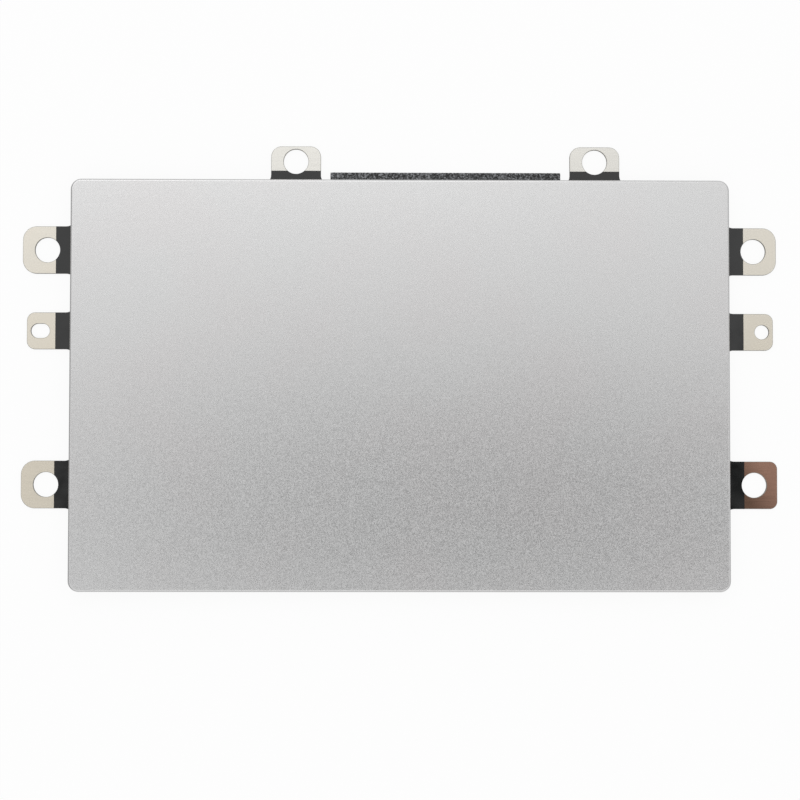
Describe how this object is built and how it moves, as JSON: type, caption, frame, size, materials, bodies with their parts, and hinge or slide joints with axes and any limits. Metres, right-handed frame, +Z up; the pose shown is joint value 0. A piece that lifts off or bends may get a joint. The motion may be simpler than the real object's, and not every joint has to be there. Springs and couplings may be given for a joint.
{
  "type": "trackpad module",
  "caption": "Flat click trackpad with a satin silver touch surface, sprung on a stamped steel bracket with screw ears and locating ears.",
  "frame": {"origin": "under the middle of the touch surface, on the flat underside of the mounting bracket", "axes": "+X to the right along the long side, +Y from the front edge to the rear edge, +Z up through the touch surface"},
  "size_m": [0.1212, 0.0714, 0.0033],
  "materials": {
    "nickel_steel": "nickel-plated, satin",
    "black_film": "semi-gloss black polyester film",
    "woven_tape": "woven black acetate",
    "spring_steel": "rolled stainless steel",
    "fastener_steel": "nickel-plated",
    "shim_film": "amber polyimide film",
    "bumper_rubber": "matte",
    "silver_coat": "satin silver coat with fine metallic grain",
    "adhesive": "translucent acrylic adhesive",
    "solder_mask": "black solder mask",
    "stiffener_steel": "rolled stainless steel",
    "nut_brass": "tinned brass",
    "chip_resin": "moulded epoxy",
    "capacitor_ceramic": "ceramic with tinned ends",
    "resistor_film": "black glaze with tinned ends",
    "connector_nylon": "moulded",
    "contact_gold": "gold flash",
    "tinned_metal": "tinned",
    "latch_nylon": "moulded",
    "switch_nylon": "moulded",
    "plunger_nylon": "moulded"
  },
  "bodies": {
    "bracket": {"mounting_bracket": "nickel_steel", "insulating_film": "black_film", "rear_tape": "woven_tape", "hinge_spring_left": "spring_steel", "hinge_spring_right": "spring_steel", "spring_rivets": "fastener_steel", "click_shim": "shim_film", "front_bumpers": "bumper_rubber"},
    "pad": {"touch_cover": "silver_coat", "cover_adhesive": "adhesive", "sensor_board": "solder_mask", "stiffener_adhesive": "adhesive", "stiffener_plate": "stiffener_steel", "spring_nuts": "nut_brass", "spring_screws": "fastener_steel", "touch_controller": "chip_resin", "memory_chip": "chip_resin", "voltage_regulator": "chip_resin", "surge_suppressor": "chip_resin", "chip_capacitors": "capacitor_ceramic", "chip_resistors": "resistor_film", "connector_housing": "connector_nylon", "connector_contacts": "contact_gold", "connector_anchors": "tinned_metal", "switch_housing": "switch_nylon", "switch_terminals": "tinned_metal", "switch_lid": "tinned_metal", "snap_dome": "spring_steel"},
    "latch": {"connector_latch": "latch_nylon"},
    "plunger": {"switch_plunger": "plunger_nylon"}
  },
  "joints": [
    {"name": "pad_click", "type": "hinge", "parent": "bracket", "child": "pad", "pos_m": [0, 0.022, 0.00093], "axis": [1, 0, 0], "range_deg": [0, 0.358], "stiffness_Nm_per_rad": 5, "springref_deg": -0.57, "deforming": ["hinge_spring_left", "hinge_spring_right"]},
    {"name": "plunger_slide", "type": "slide", "parent": "pad", "child": "plunger", "axis": [0, 0, 1], "range_m": [0, 0.00031], "deforming": ["snap_dome"]},
    {"name": "latch_flip", "type": "hinge", "parent": "pad", "child": "latch", "pos_m": [0.00725, 0.0117, 0.00105], "axis": [1, 0, 0], "range_deg": [0, 90]}
  ],
  "couplings": [
    {"joint": "plunger_slide", "follows": "pad_click", "m_per_rad": 0.048}
  ]
}
